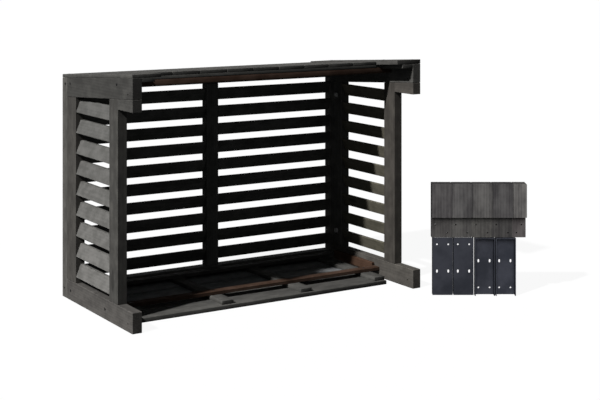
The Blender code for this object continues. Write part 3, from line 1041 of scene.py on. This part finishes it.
@dataclass
class SidePanel:
    """A louvred side panel: its finishes, its screws outside and its joining bolts inside."""

    side: Side
    kit: BoardKit
    louvre_count: int = 9
    roof_screws: tuple[Span, ...] = ((0.143, 0.6615), (-0.1985, 0.6850))
    floor_screws: tuple[Span, ...] = ((0.1385, 0.0298), (-0.1170, 0.0298))
    panel_screws: tuple[Span, ...] = ((0.1810, 0.6580), (0.1900, 0.0300))
    joining_bolts: tuple[Span, ...] = ((0.1300, 0.5770), (0.1300, 0.1120))

    def dress(self) -> None:
        """Give each board its finish and put in the screws and joining bolts."""
        label, seed = self.side.value, SIDE_SEEDS[self.side]
        # Painted shade on faces towards the wall, set per side.
        wood = replace(FRAME_WOOD, wall_shade_share=WALL_SHADE_SHARES[self.side])
        unworn = replace(wood, edge_share=0.0)
        boards = (
            ("rear_stile", Grain.UP, wood),
            ("front_stile", Grain.UP, wood),
            ("bottom_rail", Grain.DEEP, wood),
            ("top_rail", Grain.DEEP, unworn),
            ("wall_block", Grain.DEEP, unworn),
        )
        for number, (part, grain, finish) in enumerate(boards):
            stain = BOARD_STAINS[self.side].get(part, EVEN)
            wear_wood(f"{label}_{part}", finish, Lie(grain), seed + number, stain)
        for number in range(1, self.louvre_count + 1):
            share = (number - 1) / (self.louvre_count - 1)
            stain = tuple(a + share * (b - a) for a, b in zip(*LOUVRE_STAINS[self.side]))
            louvre_seed = seed + LOUVRE_SEED_STEP + number
            wear_wood(f"{label}_louvre_{number}", LOUVRE_WOOD, Lie(Grain.DEEP), louvre_seed, stain)
        low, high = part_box(f"{label}_bottom_rail")
        inner, outer = (low.x, high.x) if self.side is Side.RIGHT else (high.x, low.x)
        out = Vector((outer - inner, 0, 0)).normalized()
        places = self.roof_screws + self.floor_screws + self.panel_screws
        self.kit.screws(f"{label}_side_screws", [Vector((outer, *place)) for place in places], out)
        places = [Vector((inner, *place)) for place in self.joining_bolts]
        self.kit.screws(f"{label}_joining_bolts", places, -out, JOINING_BOLT)


@dataclass
class FrontPanel:
    """The louvred front panel: its finishes and the screws that hold it to the side panels."""

    kit: BoardKit
    slat_count: int = 10
    screw_heights: tuple[float, ...] = (0.085, 0.345, 0.610)
    stile_stain: Colour = (1.13, 1.11, 1.10)

    def dress(self) -> None:
        """Give each board its finish and put in the screws."""
        boards = (
            ("front_left_stile", Grain.UP, FRAME_WOOD, self.stile_stain),
            ("front_right_stile", Grain.UP, FRAME_WOOD, self.stile_stain),
            ("front_centre_post", Grain.UP, SLAT_WOOD, EVEN),
            ("front_top_rail", Grain.ACROSS, SLAT_WOOD, EVEN),
            ("front_bottom_rail", Grain.ACROSS, SLAT_WOOD, EVEN),
        )
        for number, (node, grain, finish, stain) in enumerate(boards):
            wear_wood(node, finish, Lie(grain), FRONT_SEED + number, stain)
        for number in range(1, self.slat_count + 1):
            seed = FRONT_SEED + LOUVRE_SEED_STEP + number
            wear_wood(f"front_slat_{number:02d}", SLAT_WOOD, Lie(Grain.ACROSS), seed)
        points = []
        for side in Side:
            low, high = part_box(f"front_{side.value}_stile")
            points += [Vector(((low.x + high.x) / 2, high.y, z)) for z in self.screw_heights]
        self.kit.screws("front_panel_screws", points, Vector((0, 1, 0)))


@dataclass(frozen=True)
class Crosspieces:
    """Two pieces across under the roof: rear edges, width, heights over its lower face, finish."""

    name: str
    rears: Span
    width: float
    heights: Span
    finish: WoodFinish


@dataclass
class Roof:
    """The roof, rebuilt as separate boards on flat strips with red-brown battens under them."""

    kit: BoardKit
    thickness: float = 0.010
    board_gap: float = 0.001
    inner_count: int = 9
    strips: Crosspieces = Crosspieces(
        "roof_strips", (-0.1895, 0.1192), width=0.029, heights=(-0.0095, -0.0001),
        finish=STRIP_WOOD,
    )
    battens: Crosspieces = Crosspieces(
        "roof_battens", (-0.189, 0.1367), width=0.011, heights=(-0.0273, -0.0096),
        finish=BATTEN_WOOD,
    )
    play: float = 0.0004
    touch: float = 0.0001
    cleat_width: float = 0.040
    cleat_heights: Span = (-0.013, -0.0001)
    nail_inset: float = 0.020
    edge_screw_share: tuple[float, ...] = (0.04, 0.35, 0.66, 0.96)

    def slope(self) -> Height:
        """Read the roof's slope from an edge board.

        Returns:
            Height of the roof's lower face at a depth.
        """
        low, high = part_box("roof_left_edge_board")
        slope = (high.z - low.z - self.thickness) / (high.y - low.y)
        return lambda y: low.z + slope * (high.y - y)

    def dress(self) -> None:
        """Build the boards, strips, battens and cleats and put in the fasteners."""
        under = self.slope()
        low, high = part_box("roof_deck")
        left_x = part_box("roof_left_edge_board")[1].x + self.board_gap
        right_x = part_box("roof_right_edge_board")[0].x
        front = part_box("roof_left_edge_board")[1].y
        step = (right_x - left_x) / self.inner_count
        width = step - self.board_gap
        Course(
            "roof_boards", (left_x, left_x + width), (low.y + self.play, front - self.play),
            (0.0, self.thickness), FRAME_WOOD, Grain.DEEP, under, nodes=("roof_deck",),
            count=self.inner_count, step=(step, 0, 0), play=(0, self.play, 0),
        ).lay(self.kit)
        self.crosspieces(self.strips, (left_x, right_x - self.board_gap), under)
        self.crosspieces(self.battens, (low.x, high.x), under)
        self.edges(under, low.y)
        self.fasteners(under, [left_x + index * step for index in range(self.inner_count)], width)

    def crosspieces(self, pair: Crosspieces, x_span: Span, under: Height) -> None:
        """Build two pieces across under the roof.

        Args:
            pair: The pieces.
            x_span: Their limits in X.
            under: Height of the roof's lower face at a depth.
        """
        rear, front = pair.rears
        Course(
            pair.name, x_span, (rear, rear + pair.width), pair.heights, pair.finish, Grain.ACROSS,
            under, count=2, step=(0, front - rear, under(front) - under(rear)),
        ).lay(self.kit)

    def edges(self, under: Height, front: float) -> None:
        """Build the two outer boards and the cleats under their rear ends.

        The right board is thicker, as the outline in the photograph shows.

        Args:
            under: Height of the roof's lower face at a depth.
            front: Limit of the cleats in Y, where the roof's inner boards begin.
        """
        for side in Side:
            node = f"roof_{side.value}_edge_board"
            low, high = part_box(node)
            Course(
                f"roof_{side.value}_edge", (low.x, high.x), (low.y, high.y),
                (0.0, EDGE_THICKS[side]), FRAME_WOOD, Grain.DEEP, under,
                nodes=(node,), stain=EDGE_STAINS[side],
            ).lay(self.kit)
        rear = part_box("roof_left_edge_board")[0].y + self.touch
        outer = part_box("left_top_rail")[1].x
        Course(
            "roof_cleats", (outer + self.touch, outer + self.cleat_width), (rear, front),
            self.cleat_heights, FRAME_WOOD, Grain.DEEP, under,
            count=2, step=(-2 * outer - self.cleat_width - self.touch, 0, 0),
        ).lay(self.kit)

    def fasteners(self, under: Height, lefts: list[float], width: float) -> None:
        """Screw the boards to the battens and the edge boards to the rails.

        Args:
            under: Height of the roof's lower face at a depth.
            lefts: Left edge of each inner board.
            width: Width of an inner board.
        """
        half = self.battens.width / 2
        spots = [
            (left + inset, rear + half, self.thickness)
            for left in lefts
            for inset in (self.nail_inset, width - self.nail_inset)
            for rear in self.battens.rears
        ]
        low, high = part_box("roof_left_edge_board")
        for side in Side:
            x = middle_of(f"{side.value}_top_rail").x
            for share in self.edge_screw_share:
                spots.append((x, low.y + share * (high.y - low.y), EDGE_THICKS[side]))
        points = [Vector((x, y, under(y) + thick)) for x, y, thick in spots]
        self.kit.screws("roof_screws", points, UP)


@dataclass
class FloorDeck:
    """The floor, rebuilt as thin boards under bearers, with battens over them; shaded boards get
    painted skylight.
    """

    kit: BoardKit
    board_count: int = 4
    board_gap: float = 0.012
    board_thick: float = 0.0124
    rear_reach: float = 0.0105
    bearer_count: int = 4
    bearer_width: float = 0.040
    play: float = 0.0002
    left_setback: float = 0.040
    lit_boards: int = 2
    # Painted skylight: the boards behind the sunlit ones are made lighter and bluer.
    skylight_tint: Colour = (2.05, 2.15, 2.35)
    side_stain: Colour = (0.84, 0.77, 0.68)
    rear_stain: Colour = (0.84, 0.84, 0.81)

    def dress(self) -> None:
        """Build the boards and bearers, dress the battens and put in the screws."""
        low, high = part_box("floor_deck")
        rear_edge = low.y - self.rear_reach
        step = (high.y - rear_edge + self.board_gap) / self.board_count
        # Painted skylight on the boards behind the sunlit ones.
        skylight_from = rear_edge + self.lit_boards * step - self.board_gap / 2
        inner = Stretch("Y", skylight_from, beyond=True, stain=self.skylight_tint)
        Course(
            "floor_boards", (low.x, high.x), (rear_edge, rear_edge + step - self.board_gap),
            (low.z, self.board_thick), replace(FRAME_WOOD, stretch=inner), Grain.ACROSS,
            nodes=("floor_deck",), count=self.board_count, step=(0, step, 0),
            play=(self.play, 0, 0),
        ).lay(self.kit)
        pitch = (high.x - low.x - self.bearer_width) / (self.bearer_count - 1)
        for name, first, count, rear in (
            ("floor_left_bearer", 0, 1, low.y + self.left_setback),
            ("floor_bearers", 1, self.bearer_count - 1, low.y),
        ):
            left = low.x + first * pitch
            Course(
                name, (left, left + self.bearer_width), (rear, high.y), (self.board_thick, high.z),
                FRAME_WOOD, Grain.DEEP, count=count, step=(pitch, 0, 0),
            ).lay(self.kit)
        battens = (
            ("rear", Grain.ACROSS, BATTEN_WOOD, self.rear_stain),
            ("front", Grain.ACROSS, FRAME_WOOD, EVEN),
            ("left", Grain.DEEP, BATTEN_WOOD, self.side_stain),
            ("right", Grain.DEEP, BATTEN_WOOD, self.side_stain),
        )
        for number, (place, grain, finish, stain) in enumerate(battens):
            wear_wood(f"floor_{place}_batten", finish, Lie(grain), FLOOR_SEED + number, stain)
        first = low.x + self.bearer_width / 2
        points = []
        for place in ("rear", "front"):
            low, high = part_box(f"floor_{place}_batten")
            middle = (low.y + high.y) / 2
            for index in range(self.bearer_count):
                points.append(Vector((first + index * pitch, middle, high.z)))
        self.kit.screws("batten_screws", points, UP)


@dataclass
class LooseSet:
    """The loose legs and steel brackets beside the screen."""

    yaw: float = -CAMERA_YAW

    def dress(self) -> None:
        """Give the legs and brackets their finishes."""
        lie = Lie(Grain.UP, self.yaw)
        centre = replace(LEG_WOOD, stretch=replace(LEG_WOOD.stretch, stain=CENTRE_TONGUE))
        for number, (node, stain) in enumerate(LEG_STAINS.items()):
            finish = centre if node == "centre_leg" else LEG_WOOD
            wear_wood(node, finish, lie, LEG_SEED + number, stain)
        for node, coat in BRACKET_COATS_AND_LIGHT.items():
            wear(node, BRACKET_STEEL.material(node, lie, coat))


@dataclass(frozen=True)
class Lamp:
    """A distant light: the way its light travels, its strength and how wide it looks."""

    name: str
    travel: Direction
    strength: float
    softness: float

    def hang(self, lit: bpy.types.Collection) -> None:
        """Set the light up.

        Args:
            lit: What it falls on.
        """
        light = bpy.data.lights.new(self.name, "SUN")
        light.energy = self.strength
        light.angle = self.softness
        lamp = bpy.data.objects.new(self.name, light)
        lamp.rotation_mode = "QUATERNION"
        lamp.rotation_quaternion = Vector(self.travel).to_track_quat("-Z", "Y")
        bpy.context.scene.collection.objects.link(lamp)
        lamp.light_linking.receiver_collection = lit


@dataclass
class Studio:
    """Pale floor, soft light and the camera."""

    floor_reach: float = 90.0
    floor_cells: int = 8
    floor_colour: Colour = (0.07, 0.07, 0.07)
    floor_noise: Noise = Noise(3.0, 3.0, 0.5)
    floor_change: float = 1.02
    floor_roughness: float = 0.9
    floor_glow: float = 0.93
    sky_colour: Colour = (0.93, 0.97, 1.0)
    sky_strength: float = 0.095
    backdrop_strength: float = 1.0
    key: Lamp = Lamp("Key light", (1.0, 0.30, -0.95), strength=4.44, softness=math.radians(2))
    front: Lamp = Lamp("Front light", (0.62, 0.78, -0.58), strength=2.72, softness=math.radians(40))
    back: Lamp = Lamp("Back light", (-0.15, -1.0, -0.30), strength=0.30, softness=math.radians(50))
    camera_place: Direction = (-2.0807, -3.6900, 1.0363)
    camera_yaw: float = CAMERA_YAW
    camera_lens: float = 80.292
    camera_drop: float = 0.17882
    view_reaches: float = 4

    def build(self, loose: Iterable[str]) -> None:
        """Build the floor, the lights and the camera.

        Args:
            loose: Parts that stand beside the screen.
        """
        bpy.context.scene.view_settings.view_transform = "Standard"
        self.floor()
        self.sky()
        beside = bpy.data.collections.new("Loose set")
        others = bpy.data.collections.new("All but the loose set")
        for node in loose:
            beside.objects.link(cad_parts[node])
            others.objects.link(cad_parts[node])
        for item in others.collection_objects:
            item.light_linking.link_state = "EXCLUDE"
        for lamp, lit in ((self.key, others), (self.front, beside), (self.back, others)):
            lamp.hang(lit)
        self.camera()

    def floor(self) -> None:
        """Lay a pale glowing floor that doesn't throw its light back onto the screen."""
        bm = bmesh.new()
        cells = self.floor_cells
        bmesh.ops.create_grid(bm, x_segments=cells, y_segments=cells, size=self.floor_reach)
        floor = finish_mesh("studio_floor", bm)
        made, sheet, shader = new_material("pale_floor")
        cloud = self.floor_noise.read(sheet, sheet.place())
        pale = tinted(self.floor_colour, EVEN, self.floor_change)
        looks = {
            "Base Color": sheet.mix(cloud, self.floor_colour, pale),
            "Roughness": self.floor_roughness,
            "Specular IOR Level": 0.0,
            "Emission Color": opaque(WHITE),
            "Emission Strength": self.floor_glow,
        }
        sheet.fill(shader, looks)
        floor.data.materials.append(made)
        floor.visible_diffuse = False
        floor.visible_glossy = False

    def sky(self) -> None:
        """Fill the room with weak light in front of a pale backdrop."""
        world = bpy.data.worlds.new("Studio room")
        bpy.context.scene.world = world
        world.use_nodes = True
        sheet = NodeSheet(world.node_tree)
        world.node_tree.nodes.clear()
        fill, backdrop = (
            sheet.add("ShaderNodeBackground", {0: opaque(colour), 1: strength})
            for colour, strength in (
                (self.sky_colour, self.sky_strength),
                (WHITE, self.backdrop_strength),
            )
        )
        seen = sheet.add("ShaderNodeLightPath").outputs["Is Camera Ray"]
        mixed = sheet.add("ShaderNodeMixShader", {0: seen, 1: fill, 2: backdrop})
        sheet.add("ShaderNodeOutputWorld", {0: mixed})

    def camera(self) -> None:
        """Place the camera where the photograph was taken from.

        That camera stood level and its picture was shifted down, so upright edges stay upright.
        Here a slant in its place on the tripod does that.
        """
        tripod = bpy.data.objects.new("Tripod", None)
        stance = Matrix.Rotation(-self.camera_yaw, 4, "Z") @ Matrix.Rotation(math.pi / 2, 4, "X")
        tripod.matrix_world = Matrix.Translation(self.camera_place) @ stance
        slant = Matrix.Identity(4)
        slant[1][2] = self.camera_drop
        lens = bpy.data.cameras.new("Camera")
        lens.lens = self.camera_lens * math.hypot(1, self.camera_drop)
        lens.clip_end = self.view_reaches * self.floor_reach
        camera = bpy.data.objects.new("Camera", lens)
        camera.parent = tripod
        camera.matrix_parent_inverse = slant
        for piece in (tripod, camera):
            bpy.context.scene.collection.objects.link(piece)
        bpy.context.scene.camera = camera


def main() -> None:
    """Build the looks in order."""
    logging.basicConfig(level=logging.INFO, format="%(message)s")
    Studio().build((*LEG_STAINS, *BRACKET_COATS_AND_LIGHT))
    kit = BoardKit()
    for side in Side:
        SidePanel(side, kit).dress()
    FrontPanel(kit).dress()
    Roof(kit).dress()
    FloorDeck(kit).dress()
    LooseSet().dress()


if __name__ == "__main__":
    main()
